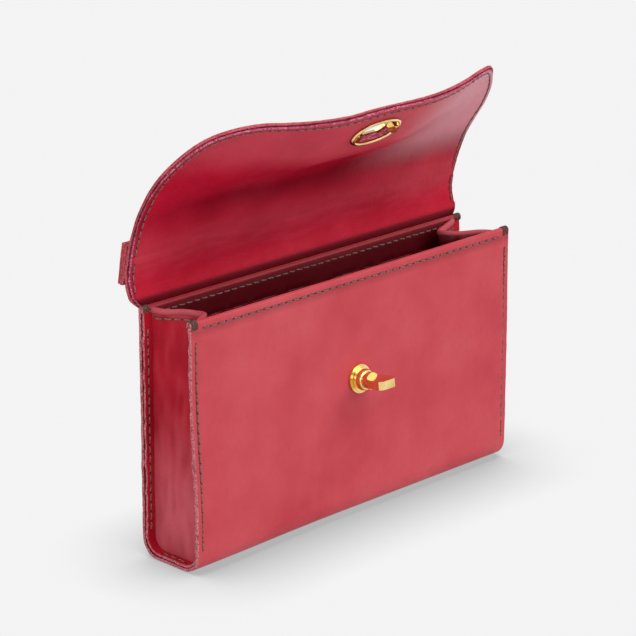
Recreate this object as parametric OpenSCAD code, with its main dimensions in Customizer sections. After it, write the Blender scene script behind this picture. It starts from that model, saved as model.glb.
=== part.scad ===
// Wristlet wallet: a slim stitched leather pouch with folding side gussets, a shaped flap
// with a hand strap across its outside, and a brass turn lock that passes through an eyelet.
// Millimetres, +Z up. The origin is the centre of the face that the pouch stands on.
// +X is to the right seen from the front, and the front, with the lock, faces -Y.

/* [Pouch] */
// Width of the pouch between the cut edges of its side seams
body_w = 208; // [190:1:240]
// Depth of the pouch over the leather, front to back
body_d = 34; // [28:0.5:41]
// Height of the pouch at its mouth
body_h = 118; // [98:1:142]
// Outside radius of the folds along the bottom front and the bottom back
bottom_r = 9; // [6:0.5:12]
// Thickness of the body leather
leather_t = 1.5; // [1.2:0.1:1.8]
// Depth of the turned hems at the front and back of the mouth
hem_depth = 12; // [8:1:16]

/* [Gussets] */
// Thickness of the gusset leather
gusset_t = 1.2; // [0.9:0.1:1.5]
// Width of the gusset margin that is sewn to the body
seam_w = 6; // [5:0.5:8]
// How far the left gusset is folded in at the mouth
left_fold = 14; // [6:1:20]
// How far the right gusset is folded in at the mouth
right_fold = 20; // [6:1:24]
// Height at which the folds of the gussets begin
fold_z = 30; // [15:1:60]

/* [Flap] */
// How far the flap reaches past the pouch at each side
flap_overlap = 2; // [0:0.5:4]
// Length of the flap along its sides, before the corners are rounded
flap_side_l = 103; // [99:1:110]
// Length of the flap along its middle
flap_mid_l = 107; // [104:1:114]
// Radius of the rounded corners of the flap
flap_corner_r = 46; // [20:1:52]
// Thickness of the outer leather of the flap
flap_outer_t = 1.4; // [1.1:0.1:1.7]
// Thickness of the lining of the flap
flap_lining_t = 1.1; // [0.9:0.1:1.4]
// Distance along the flap from its hinge to the crease that folds over the front
crease_s = 40; // [38:1:42]
// Height of the flap's sewn margin on the back panel
margin_h = 14; // [10:1:20]

/* [Hand strap] */
// Width of the hand strap
strap_w = 20; // [14:1:24]
// Thickness of the hand strap
strap_t = 2.6; // [1.8:0.1:3.2]
// Length of the pad under each end of the strap
strap_pad_l = 18; // [12:1:26]
// Thickness of those pads
strap_pad_t = 1.8; // [1.4:0.1:2.4]
// How far the middle of the strap bows away from its ends
strap_bow = 10; // [8:0.5:13]
// Distance along the flap from its hinge to the middle of the strap
strap_s = 20; // [17:0.5:24]

/* [Turn lock] */
// Height of the lock above the surface that the pouch stands on
lock_z = 67; // [64:0.5:70]
// Upward tip of the lock, which the soft front panel lets it have
lock_tip = 6; // [0:0.5:8]
// Radius of the base disc of the lock
disc_r = 6.8; // [6.3:0.1:7.6]
// Radius of the collar between the base and the toggle
collar_r = 4; // [3.6:0.1:4.3]
// Width of the toggle across the lock
toggle_w = 10.6; // [10.2:0.1:11.6]
// Thickness of the toggle
toggle_t = 4; // [3.4:0.1:4.8]
// Distance from the base disc to the face of the toggle
lock_reach = 19.5; // [17:0.5:23]
// Radius of the spindle of the lock
spindle_r = 1.8; // [1.5:0.1:2.2]

/* [Eyelet] */
// Distance along the flap from its hinge to the middle of the eyelet
eyelet_s = 92; // [90:0.5:94]
// Length of the eyelet over its frame
eyelet_l = 30; // [28:0.5:34]
// Height of the eyelet over its frame
eyelet_h = 17.5; // [16.5:0.5:19]
// Length of the slot that the toggle passes through
slot_l = 20; // [18:0.5:21]
// Height of that slot, which is less than the width of the toggle
slot_h = 9.6; // [9.2:0.1:10]
// Thickness of the frame and of the back ring of the eyelet
eyelet_t = 1; // [0.7:0.1:1.2]

/* [Stitching] */
// Thickness of the thread
thread_t = 0.6; // [0.4:0.1:0.8]
// Distance of the seams from the cut edges
seam_inset = 3; // [2.5:0.25:3.5]
// Distance of the hem stitching from the rim
hem_inset = 3.5; // [3:0.25:5]

/* [Hidden] */

coral = [0.75, 0.28, 0.32];
deep_red = [0.62, 0.12, 0.20];
thread_brown = [0.38, 0.30, 0.25];
brass = [0.85, 0.65, 0.25];

glue = 0.05;         // between faces that are sewn or glued together
clear = 0.3;         // between pieces that move past each other
run_fit = 0.05;      // radial clearance of the spindle in its bore
metal_gap = 0.15;    // between the eyelet's metal and the leather it holds
eps = 0.01;

half_w = body_w / 2;
half_d = body_d / 2;
stitch_t = thread_t / 2;                // how proud a stitch stands of the leather

flap_half_w = half_w + flap_overlap;
flap_t = flap_outer_t + flap_lining_t + glue;
flap_in = flap_lining_t + glue / 2;     // from the flap's middle surface to its inner face
flap_out = flap_outer_t + glue / 2;     // from the flap's middle surface to its outer face
bead_r = flap_t / 2;                    // radius of the soft rolls at the hinge and the crease
bead_clear = bead_r + clear;

// The hinge, where the flap's leather leaves its sewn margin just above the back rim
hinge_y = half_d + glue + bead_r;
hinge_z = body_h + 1;

// ---------- Shape of the open flap ----------
// s is the distance along the leather from the hinge, and u runs from 0 in the middle to 1 at
// the sides. Each stop is a distance and the forward lean there, in degrees from vertical.
base_stops = [[0, -36], [15, 8], [crease_s, 26]];
side_stops = concat(base_stops, [[55, 36], [80, 39], [105, 54]]);
mid_stops = concat(base_stops, [[54, 66], [70, 69], [eyelet_s - 10, 41], [eyelet_s + 10, 41], [108, 2]]);
flat_u = 0.16;       // the middle of the flap, round the eyelet, has no warp
warp_power = 2.4;    // how quickly the flap's shape turns from the middle one to the side one

function side_share(u) = 1 - pow(1 - pow(max(0, (u - flat_u) / (1 - flat_u)), 2), warp_power);
function lean(u, s) =
    lookup(s, mid_stops) * (1 - side_share(u)) + lookup(s, side_stops) * side_share(u);

// Walks along the leather at u from one distance to another, starting at y and z in the section,
// and returns [y, z, lean] at n + 1 evenly spaced stations
function walk(u, from, to, n, y, z, sub = 4) =
    let (ds = (to - from) / (n * sub))
    [for (i = 0, s = from, yy = y, zz = z; i <= n * sub;
          yy = yy - sin(lean(u, s + ds / 2)) * ds,
          zz = zz + cos(lean(u, s + ds / 2)) * ds,
          s = s + ds, i = i + 1)
        if (i % sub == 0) [yy, zz, lean(u, s)]];

function last(list) = list[len(list) - 1];
function base_place(s) = last(walk(0, 0, s, 10, hinge_y, hinge_z));
crease = base_place(crease_s);
function front_place(u, s) = last(walk(u, crease_s, s, 12, crease[0], crease[1]));

// The point of the flap at x and distance s, moved off its middle surface towards its inner face
function off_surface(x, place, inward) =
    [x, place[0] - inward * cos(place[2]), place[1] - inward * sin(place[2])];

// Where the flap ends along the leather, at x, on a line that runs inset from the cut edge
function flap_end(x, inset = 0) =
    let (r = flap_corner_r - inset, flat = flap_half_w - flap_corner_r, ax = abs(x))
    ax <= flat
        ? flap_side_l - inset + (flap_mid_l - flap_side_l) * (1 - pow(ax / flat, 2))
        : flap_side_l - flap_corner_r + sqrt(max(0, r * r - pow(ax - flat, 2)));

// ---------- Builders ----------
// A closed sheet between two faces. Each face is a list of rows of cols + 1 points, and the
// front is the one that the cross product of the column and row directions points out of.
module sheet_solid(front, back, cols, rows) {
    n = cols + 1;
    m = n * (rows + 1);
    quads = [for (j = [0 : rows - 1], i = [0 : cols - 1]) j * n + i];
    front_faces = [for (q = quads) each [[q, q + n + 1, q + 1], [q, q + n, q + n + 1]]];
    back_faces = [for (q = quads)
        each [[m + q, m + q + 1, m + q + n + 1], [m + q, m + q + n + 1, m + q + n]]];
    first_row = [for (q = [0 : cols - 1]) each [[q, q + 1, m + q + 1], [q, m + q + 1, m + q]]];
    last_row = [for (i = [0 : cols - 1]) let (q = rows * n + i)
        each [[q + 1, q, m + q], [q + 1, m + q, m + q + 1]]];
    first_col = [for (j = [0 : rows - 1]) let (q = j * n)
        each [[q + n, q, m + q], [q + n, m + q, m + q + n]]];
    last_col = [for (j = [0 : rows - 1]) let (q = j * n + cols)
        each [[q, q + n, m + q + n], [q, m + q + n, m + q]]];
    polyhedron(concat(front, back),
               concat(front_faces, back_faces, first_row, last_row, first_col, last_col),
               convexity = 8);
}

// Turns a profile drawn in Y and Z into a length along X that starts at x0
module along_x(x0, length) {
    translate([x0, 0, 0]) rotate([90, 0, 90]) linear_extrude(height = length) children();
}

// The side outline of the pouch, inset from its outer face
module pouch_outline(inset, top) {
    translate([-half_d + inset, bottom_r]) square([body_d - 2 * inset, top - bottom_r]);
    translate([-half_d + bottom_r, inset]) square([body_d - 2 * bottom_r, bottom_r - inset + eps]);
    for (side = [-1, 1])
        translate([side * (half_d - bottom_r), bottom_r]) circle(r = bottom_r - inset, $fn = 64);
}

// The wall between two insets of that outline, open at the top
module pouch_wall(outer, inner, top) {
    difference() {
        pouch_outline(outer, top);
        pouch_outline(inner, top + 1);
    }
}

// ---------- Pouch ----------
rim_y = half_d - leather_t;             // centre of the rolled rims
rim_z = body_h - leather_t;
hem_half_w = half_w - seam_w - 3;       // the hems stop short of the gussets

// One piece of leather down the front, under the bottom and up the back, with turned hems
module body_outer() {
    color(coral) difference() {
        union() {
            along_x(-half_w, body_w) {
                pouch_wall(0, leather_t, rim_z);
                for (side = [-1, 1])
                    translate([side * rim_y, rim_z]) circle(r = leather_t, $fn = 48);
            }
            for (side = [-1, 1])
                along_x(-hem_half_w, 2 * hem_half_w)
                    translate([side * rim_y - leather_t, body_h - hem_depth])
                        square([2 * leather_t, hem_depth - leather_t]);
        }
        at_lock() lock_holes();
    }
}

gusset_inset = leather_t + glue;
gusset_top = body_h - 2 * leather_t - clear;
gusset_x = half_w - seam_w + gusset_t / 2;   // the panel's outer face, just inside its margin

// How far in the fold reaches at v, from -1 at the front to 1 at the back, as a share
function fold_shape(v, crest) =
    let (t = v < crest ? (v + 1) / (crest + 1) : (1 - v) / (1 - crest))
    (1 - cos(180 * t)) / 2;
function fold_growth(z) = pow(max(0, (z - fold_z) / (body_h - fold_z)), 1.5);
function pouch_half_d(z, inset) =
    z >= bottom_r
        ? half_d - inset
        : half_d - bottom_r + sqrt(max(0, pow(bottom_r - inset, 2) - pow(bottom_r - z, 2)));

// One face of a gusset panel between two heights, moved out along X from the panel's outer face,
// without its skip outermost columns at the front and at the back
function gusset_face(depth, crest, low, high, rows, out, skip = 0) =
    [for (j = [0 : rows], i = [skip : gusset_cols - skip])
        let (z = low + (high - low) * j / rows, v = 2 * i / gusset_cols - 1)
        [gusset_x - depth * fold_shape(v, crest) * fold_growth(z) + out,
         v * pouch_half_d(z, gusset_inset + glue), z]];
gusset_cols = 18;
gusset_rows = 9;

// The right gusset, a folded panel with a flat margin all round, or the left one mirrored
module gusset(side, depth, crest) {
    low = gusset_inset + glue;
    color(deep_red) mirror([side < 0 ? 1 : 0, 0, 0]) union() {
        sheet_solid(gusset_face(depth, crest, low, gusset_top, gusset_rows, 0),
                    gusset_face(depth, crest, low, gusset_top, gusset_rows, -gusset_t),
                    gusset_cols, gusset_rows);
        along_x(half_w - seam_w, seam_w)
            pouch_wall(gusset_inset, gusset_inset + gusset_t, gusset_top);
    }
}
left_crest = -0.3;
right_crest = 0.3;
module left_gusset() { gusset(-1, left_fold, left_crest); }
module right_gusset() { gusset(1, right_fold, right_crest); }

// ---------- Stitching of the pouch ----------
tack_l = 6;          // length of the bar tacks at the corners of the mouth
tack_w = 4;

// The row through a side seam: on both outer faces, and all round on the gusset's margin
module seam_thread(side) {
    x0 = side * (half_w - seam_inset) - thread_t / 2;
    low = bottom_r;
    high = body_h - tack_l - 1;
    margin_low = margin_top - margin_h - 1;
    seat = gusset_inset + gusset_t + glue;
    color(thread_brown) {
        translate([x0, -half_d - stitch_t, low]) cube([thread_t, stitch_t, high - low]);
        translate([x0, half_d, low]) cube([thread_t, stitch_t, margin_low - low]);
        along_x(x0, thread_t)
            pouch_wall(seat, seat + stitch_t, gusset_top - 2);
    }
}
module left_seam_thread() { seam_thread(-1); }
module right_seam_thread() { seam_thread(1); }

module front_hem_thread() {
    reach = half_w - tack_w - 2;
    color(thread_brown) translate([-reach, -half_d - stitch_t, body_h - hem_inset - thread_t])
        cube([2 * reach, stitch_t, thread_t]);
}

module back_hem_thread() {
    reach = hem_half_w - 2;
    color(thread_brown)
        translate([-reach, half_d - 2 * leather_t - stitch_t, body_h - hem_inset - thread_t])
            cube([2 * reach, stitch_t, thread_t]);
}

// A row along the top of each gusset, on its outer face
module gusset_hem_threads() {
    high = gusset_top - hem_inset + thread_t;
    seat = 4 * glue;
    skip = 2;
    color(thread_brown) for (g = [[1, left_fold, left_crest], [0, right_fold, right_crest]])
        mirror([g[0], 0, 0])
            sheet_solid(gusset_face(g[1], g[2], high - thread_t, high, 1, seat + stitch_t, skip),
                        gusset_face(g[1], g[2], high - thread_t, high, 1, seat, skip),
                        gusset_cols - 2 * skip, 1);
}

// Thread whipped over the rim at the four top corners, with a leg down the front of the front ones
module corner_bar_tacks() {
    color(thread_brown) for (x0 = [-half_w + 1, half_w - 1 - tack_w]) {
        for (side = [-1, 1])
            along_x(x0, tack_w) intersection() {
                translate([side * rim_y, rim_z]) difference() {
                    circle(r = leather_t + glue + stitch_t, $fn = 48);
                    circle(r = leather_t + glue, $fn = 48);
                }
                translate([-half_d, rim_z + eps]) square([body_d, 2 * leather_t]);
            }
        translate([x0, -half_d - stitch_t, body_h - tack_l])
            cube([tack_w, stitch_t, tack_l - leather_t]);
    }
}

// ---------- Flap on the back panel ----------
margin_top = hinge_z - bead_clear;
skive = 3;           // height of the slope along the top of the margin

// Sewn to the back panel, with its top skived away so that the flap can fold right back
module flap_sewn_margin() {
    y0 = half_d + glue;
    low = margin_top - margin_h;
    color(coral) along_x(-half_w, body_w)
        polygon([[y0, low], [y0 + flap_t, low], [y0 + flap_t, margin_top - skive], [y0, margin_top - clear]]);
}

module flap_margin_thread() {
    reach = half_w - seam_inset;
    color(thread_brown) for (up = [seam_inset, margin_h - skive - 2])
        translate([-reach, half_d + glue + flap_t, margin_top - margin_h + up - thread_t / 2])
            cube([2 * reach, stitch_t, thread_t]);
}

// ---------- Turn lock ----------
disc_h = 1.2;        // the base's disc, its step and its dome, from the panel outwards
step_h = 2.4;
dome_h = 5.8;
step_r = disc_r - 0.8;
dome_low_r = 5.2;
dome_top_r = collar_r + 0.3;
plate_t = 0.8;
plate_half_h = 6.5;
washer_t = 0.5;
rivet_h = 0.8;
leg_x = 4.4;         // where the base's two legs pass through the panel
leg_t = 0.8;
leg_w = 3;
leg_tab = 2.6;

// The base stands off far enough that its tipped disc clears the flat panel, and the plate behind
// the panel does the same
lock_stand = disc_r * tan(lock_tip) + glue;
plate_z = -(lock_stand + leather_t / cos(lock_tip) + plate_half_h * tan(lock_tip) + glue);
washer_z = plate_z - plate_t - glue;
rivet_z = washer_z - washer_t - glue;
collar_z = dome_h + 0.1;
toggle_z = 8.7;      // where the collar ends and the toggle's wings begin

// Puts what is built along +Z on the axis of the lock, pointing out of the front panel
module at_lock() {
    translate([0, -half_d, lock_z]) rotate([90 - lock_tip, 0, 0]) translate([0, 0, lock_stand])
        children();
}

// The holes that the spindle and the legs need in the front panel
module lock_holes() {
    translate([0, 0, plate_z]) cylinder(r = spindle_r + 0.6, h = -plate_z, $fn = 48);
    for (side = [-1, 1])
        translate([side * leg_x - leg_t, -leg_w / 2 - clear, plate_z])
            cube([2 * leg_t, leg_w + 2 * clear, -plate_z]);
}

module lock_base() {
    dome = [for (a = [0 : 15 : 90])
        [dome_top_r + (dome_low_r - dome_top_r) * cos(a), step_h + (dome_h - step_h) * sin(a)]];
    color(brass) at_lock() {
        difference() {
            union() {
                cylinder(r = disc_r, h = disc_h, $fn = 96);
                cylinder(r = step_r, h = step_h, $fn = 96);
                rotate_extrude($fn = 96) polygon(concat([[0, step_h - eps], [dome_low_r, step_h - eps]],
                                                        dome, [[0, dome_h]]));
            }
            translate([0, 0, -1]) cylinder(r = spindle_r + run_fit, h = dome_h + 2, $fn = 64);
        }
        for (side = [-1, 1]) {
            leg_l = plate_t - plate_z + glue + leg_t;
            translate([side * leg_x - leg_t / 2, -leg_w / 2, -leg_l]) cube([leg_t, leg_w, leg_l + eps]);
            translate([side > 0 ? leg_x : -leg_x - leg_tab, -leg_w / 2, -leg_l])
                cube([leg_tab, leg_w, leg_t]);
        }
    }
}

module lock_backing_plate() {
    plate_half_w = leg_x + leg_tab + 1;
    color(brass) at_lock() difference() {
        translate([-plate_half_w, -plate_half_h, plate_z - plate_t])
            cube([2 * plate_half_w, 2 * plate_half_h, plate_t]);
        translate([0, 0, plate_z - plate_t - 1])
            cylinder(r = spindle_r + 2 * run_fit, h = plate_t + 2, $fn = 64);
        for (side = [-1, 1])
            translate([side * leg_x - leg_t / 2 - 0.1, -leg_w / 2 - 0.1, plate_z - plate_t - 1])
                cube([leg_t + 0.2, leg_w + 0.2, plate_t + 2]);
    }
}

// The spring washer that holds the toggle where it is turned to
module lock_spring_washer() {
    color(brass) at_lock() translate([0, 0, washer_z - washer_t]) difference() {
        cylinder(r = spindle_r + 1.3, h = washer_t, $fn = 64);
        translate([0, 0, -1]) cylinder(r = spindle_r + 2 * run_fit, h = washer_t + 2, $fn = 64);
    }
}

// The collar and the bevelled toggle on it, which lies across the lock when it is open
module lock_toggle() {
    half = toggle_w / 2;
    root = collar_r - 0.3;
    bevel = 1.7;
    wing = [[-root, toggle_z - eps], [-half, toggle_z + 1.4], [-half, lock_reach - bevel],
            [-half + bevel, lock_reach], [half - bevel, lock_reach], [half, lock_reach - bevel],
            [half, toggle_z + 1.4], [root, toggle_z - eps]];
    color(brass) at_lock() {
        translate([0, 0, collar_z]) cylinder(r = collar_r, h = toggle_z - collar_z, $fn = 96);
        rotate([90, 0, 0]) translate([0, 0, -toggle_t / 2]) linear_extrude(height = toggle_t)
            polygon(wing);
    }
}

module lock_spindle() {
    color(brass) at_lock() {
        translate([0, 0, rivet_z]) cylinder(r = spindle_r, h = collar_z - rivet_z, $fn = 64);
        translate([0, 0, rivet_z - rivet_h]) cylinder(r = spindle_r + 1.2, h = rivet_h, $fn = 64);
    }
}

// ---------- Part of the flap that spans the mouth ----------
base_steps = 16;

// A strip of the flap's section between two distances and two offsets from the middle surface
module base_strip(from, to, inward_a, inward_b) {
    start = base_place(from);
    places = walk(0, from, to, base_steps, start[0], start[1]);
    side_a = [for (p = places) let (q = off_surface(0, p, inward_a)) [q[1], q[2]]];
    side_b = [for (i = [base_steps : -1 : 0]) let (q = off_surface(0, places[i], inward_b)) [q[1], q[2]]];
    polygon(concat(side_a, side_b));
}

module flap_base_outer() {
    color(coral) along_x(-flap_half_w, 2 * flap_half_w) {
        base_strip(eps, crease_s, -glue / 2, -flap_out);
        for (end = [[hinge_y, hinge_z], crease])
            translate([end[0], end[1]]) circle(r = bead_r, $fn = 32);
    }
}

module flap_base_lining() {
    color(deep_red) along_x(-flap_half_w, 2 * flap_half_w)
        base_strip(bead_clear, crease_s - bead_clear, flap_in, glue / 2);
}

module flap_base_thread() {
    last_stitch = crease_s - 10;     // before the stretch that lies on the front rim when closed
    color(thread_brown) for (side = [-1, 1])
        along_x(side * (flap_half_w - seam_inset) - thread_t / 2, thread_t)
            base_strip(bead_clear + 1, last_stitch, flap_in + glue + stitch_t, flap_in + glue);
}

// ---------- Hand strap across the outside of the flap ----------
strap_at = base_place(strap_s);
pad_y = flap_out + glue;
strap_y = pad_y + strap_pad_t + glue;

// Puts what is built with +Y out of the flap and +Z along it at the strap's place
module at_strap() {
    translate([0, strap_at[0], strap_at[1]]) rotate([strap_at[2], 0, 0]) children();
}

module strap_end_pads() {
    color(coral) at_strap() for (x0 = [-flap_half_w, flap_half_w - strap_pad_l])
        translate([x0, pad_y, -strap_w / 2]) cube([strap_pad_l, strap_pad_t, strap_w]);
}

module hand_strap() {
    span = flap_half_w - strap_pad_l;
    steps = 24;
    bow = [for (i = [0 : steps])
        let (x = span * (2 * i / steps - 1)) [x, strap_y + strap_bow * (1 + cos(180 * x / span)) / 2]];
    inner = concat([[-flap_half_w, strap_y]], bow, [[flap_half_w, strap_y]]);
    outer = [for (i = [len(inner) - 1 : -1 : 0]) inner[i] + [0, strap_t]];
    color(coral) at_strap() translate([0, 0, -strap_w / 2]) linear_extrude(height = strap_w)
        polygon(concat(inner, outer));
}

// A box of stitches at each end of the strap
module strap_thread() {
    long = strap_pad_l - 4;
    tall = strap_w - 4;
    color(thread_brown) at_strap() for (x0 = [-flap_half_w + 2, flap_half_w - 2 - long])
        translate([x0, strap_y + strap_t, 0]) rotate([-90, 0, 0]) translate([0, -tall / 2, 0])
            linear_extrude(height = stitch_t) difference() {
                square([long, tall]);
                translate([thread_t, thread_t]) square([long - 2 * thread_t, tall - 2 * thread_t]);
            }
}

// ---------- Part of the flap that folds down over the front ----------
front_cols = 28;
front_rows = 16;
front_start = crease_s + bead_clear;
hole_l = slot_l + 4.4;
hole_h = slot_h + 2;

// Column positions crowd towards the sides, where the corners turn
function column_x(i) = flap_half_w * sin(90 * (2 * i / front_cols - 1));
front_walks = [for (i = [0 : front_cols])
    let (x = column_x(i), u = abs(x) / flap_half_w, start = front_place(u, front_start))
    walk(u, front_start, flap_end(x), front_rows, start[0], start[1])];
function front_face(inward) = [for (j = [0 : front_rows], i = [0 : front_cols])
    off_surface(column_x(i), front_walks[i][j], inward)];

eyelet_at = front_place(0, eyelet_s);
// Puts what is built with +Y out of the flap and +Z along it at the eyelet's place
module at_eyelet() {
    translate([0, eyelet_at[0], eyelet_at[1]]) rotate([eyelet_at[2], 0, 0]) children();
}

// A bar with round ends, length along X and height along Z, between two values of Y
module oval_bar(length, height, y0, y1) {
    translate([0, y1, 0]) rotate([90, 0, 0]) linear_extrude(height = y1 - y0) {
        square([length - height, height], center = true);
        for (side = [-1, 1]) translate([side * (length - height) / 2, 0]) circle(d = height, $fn = 64);
    }
}

module flap_front_outer() {
    color(coral) difference() {
        sheet_solid(front_face(-glue / 2), front_face(-flap_out), front_cols, front_rows);
        at_eyelet() oval_bar(hole_l, hole_h, -flap_t, flap_t);
    }
}

module flap_front_lining() {
    color(deep_red) difference() {
        sheet_solid(front_face(flap_in), front_face(glue / 2), front_cols, front_rows);
        at_eyelet() oval_bar(hole_l, hole_h, -flap_t, flap_t);
    }
}

// Stations of a line that runs inset from the cut edge, up the left side, round and down the right
edge_turns = 36;
function edge_line(inset) =
    let (reach = flap_half_w - inset, corner = flap_side_l - flap_corner_r, low = front_start + 1)
    concat([for (i = [0 : 2]) [-reach, low + (corner - low) * i / 3]],
           [for (i = [0 : edge_turns]) let (x = -reach * cos(180 * i / edge_turns)) [x, flap_end(x, inset)]],
           [for (i = [2 : -1 : 0]) [reach, low + (corner - low) * i / 3]]);
function edge_face(inward) = [for (inset = [seam_inset + thread_t / 2, seam_inset - thread_t / 2],
                                   p = edge_line(inset))
    off_surface(p[0], front_place(abs(p[0]) / flap_half_w, p[1]), inward)];

// The edge stitching, a raised line on the lining
module flap_front_thread() {
    seat = flap_in + 4 * glue;
    color(thread_brown)
        sheet_solid(edge_face(seat + stitch_t), edge_face(seat), edge_turns + 6, 1);
}

// ---------- Eyelet ----------
prong_t = 0.8;
prong_w = 4;
prong_tab = 3;
prong_x = slot_l / 2 + 0.3;      // inner face of the prongs, past the ends of the slot
ring_low = -flap_in - metal_gap - eyelet_t;
ring_l = 2 * (prong_x + prong_t + 0.9);
ring_h = slot_h + 3.8;

module eyelet_frame() {
    low = flap_out + metal_gap;
    fold_y = ring_low - glue - prong_t;
    color(brass) at_eyelet() {
        difference() {
            oval_bar(eyelet_l, eyelet_h, low, low + eyelet_t);
            oval_bar(slot_l, slot_h, low - 1, low + eyelet_t + 1);
        }
        for (side = [-1, 1]) {
            x0 = side > 0 ? prong_x : -prong_x - prong_t;
            translate([x0, fold_y, -prong_w / 2]) cube([prong_t, low - fold_y + eps, prong_w]);
            translate([side > 0 ? prong_x : -prong_x - prong_tab, fold_y, -prong_w / 2])
                cube([prong_tab, prong_t, prong_w]);
        }
    }
}

module eyelet_back_ring() {
    color(brass) at_eyelet() difference() {
        oval_bar(eyelet_l, eyelet_h, ring_low, ring_low + eyelet_t);
        oval_bar(ring_l, ring_h, ring_low - 1, ring_low + eyelet_t + 1);
    }
}

body_outer();
left_gusset();
right_gusset();
left_seam_thread();
right_seam_thread();
front_hem_thread();
back_hem_thread();
gusset_hem_threads();
corner_bar_tacks();
flap_sewn_margin();
flap_margin_thread();
lock_base();
lock_backing_plate();
lock_spring_washer();
lock_toggle();
lock_spindle();
flap_base_outer();
flap_base_lining();
flap_base_thread();
strap_end_pads();
hand_strap();
strap_thread();
flap_front_outer();
flap_front_lining();
flap_front_thread();
eyelet_frame();
eyelet_back_ring();
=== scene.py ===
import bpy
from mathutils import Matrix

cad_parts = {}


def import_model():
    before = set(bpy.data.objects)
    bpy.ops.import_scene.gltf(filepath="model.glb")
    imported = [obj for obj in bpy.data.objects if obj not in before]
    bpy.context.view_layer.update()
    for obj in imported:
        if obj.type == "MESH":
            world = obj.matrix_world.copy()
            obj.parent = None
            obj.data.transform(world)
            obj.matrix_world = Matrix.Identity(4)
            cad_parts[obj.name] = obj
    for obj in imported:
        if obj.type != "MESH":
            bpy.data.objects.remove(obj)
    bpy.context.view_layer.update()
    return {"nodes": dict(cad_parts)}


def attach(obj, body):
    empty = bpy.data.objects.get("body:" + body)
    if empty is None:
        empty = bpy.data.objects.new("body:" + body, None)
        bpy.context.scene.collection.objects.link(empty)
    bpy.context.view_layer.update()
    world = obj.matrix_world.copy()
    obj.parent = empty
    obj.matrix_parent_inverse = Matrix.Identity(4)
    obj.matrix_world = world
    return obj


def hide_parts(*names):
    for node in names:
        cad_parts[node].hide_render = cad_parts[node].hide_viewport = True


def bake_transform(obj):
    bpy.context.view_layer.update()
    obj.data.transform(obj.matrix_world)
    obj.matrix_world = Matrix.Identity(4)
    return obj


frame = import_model()

import math

import bpy
import numpy as np
from mathutils import Matrix, Vector, noise

# Lengths are millimetres in the frame's axes until a mesh is made
HALF_W = 104.0
HALF_D = 17.0
BODY_H = 118.0
BOTTOM_R = 9.0
LEATHER = 1.5
GUSSET = 1.2
SEAM_W = 6.0
LOCK_Z = 67.0
LOCK_TIP = math.radians(6)
FLAP_HALF_W = 106.0
FLAP_SIDE = 103.0
FLAP_MID = 107.0
FLAP_R = 46.0
OUTER_T = 1.4
LINING_T = 1.1
CREASE_S = 40.0
STRAP_S = 20.0
EYELET_S = 92.0
HINGE_Y = HALF_D + 0.05 + 1.275
HINGE_Z = BODY_H + 1
STITCH_INSET = 3.0
PITCH = 4.6
SHARP_ANGLE = math.radians(38)
rng = np.random.default_rng(7)


# ---------------------------------------------------------------- camera
def make_camera():
    data = bpy.data.cameras.new("camera")
    data.lens = 165.3
    data.sensor_width = 36
    data.clip_end = 20
    cam = bpy.data.objects.new("camera", data)
    bpy.context.collection.objects.link(cam)
    right = Vector((0.7057, -0.7085, 0.0))
    up = Vector((0.2232, 0.2223, 0.9491))
    back = Vector((-0.6725, -0.6698, 0.3150))
    m = Matrix((right, up, back)).transposed().to_4x4()
    m.translation = Vector((-0.9125, -0.9000, 0.5176))
    cam.matrix_world = m
    bpy.context.scene.camera = cam


make_camera()


# ---------------------------------------------------------------- materials
def lin(r, g, b):
    """sRGB 0-255 to a linear colour."""
    def one(v):
        v /= 255
        return v / 12.92 if v <= 0.04045 else ((v + 0.055) / 1.055) ** 2.4
    return (one(r), one(g), one(b), 1.0)


# Colour of painted shade, mixed in by a mesh attribute
PAINTED_SHADE_COLOUR = lin(84, 0, 11)
# Colour of painted highlight, mixed in by a mesh attribute
PAINTED_HIGHLIGHT_COLOUR = lin(222, 146, 158)


def fill_ramp(ramp, stops):
    """Sets a colour ramp node to (place, colour) stops."""
    first, last = ramp.color_ramp.elements
    first.position, first.color = stops[0]
    last.position, last.color = stops[-1]
    for place, colour in stops[1:-1]:
        ramp.color_ramp.elements.new(place).color = colour


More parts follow.
